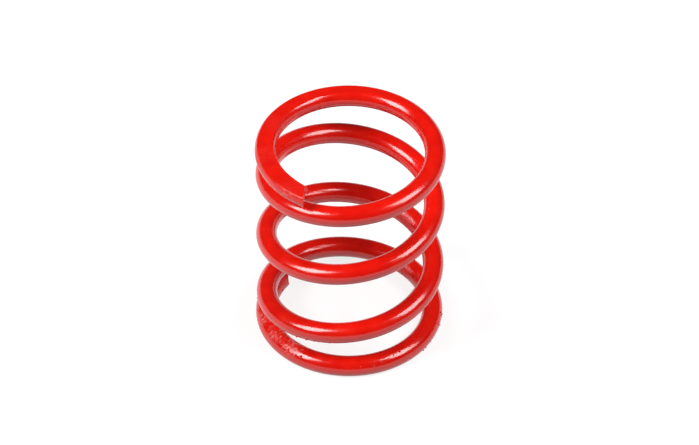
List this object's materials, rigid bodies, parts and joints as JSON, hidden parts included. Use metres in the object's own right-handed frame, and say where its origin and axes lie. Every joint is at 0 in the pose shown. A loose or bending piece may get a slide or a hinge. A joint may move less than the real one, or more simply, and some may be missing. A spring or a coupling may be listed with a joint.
{
  "type": "servo saver spring",
  "caption": "Short red helical compression spring of round wire with closed, lightly ground ends, which preloads the two halves of a steering servo saver.",
  "frame": {"origin": "on the coil's axis, in the plane of the lower ground face that the spring stands on", "axes": "+Z along the coil's axis, from the lower face to the upper one; -Y towards the viewer of the picture, where the upper end of the wire lies a little left of the middle; +X to the right"},
  "size_m": [0.0163, 0.0162, 0.0198],
  "materials": {
    "red_coating": "glossy signal-red powder coat over spring steel wire, ends included"
  },
  "bodies": {
    "root": {"coil_spring": "red_coating"}
  },
  "joints": []
}
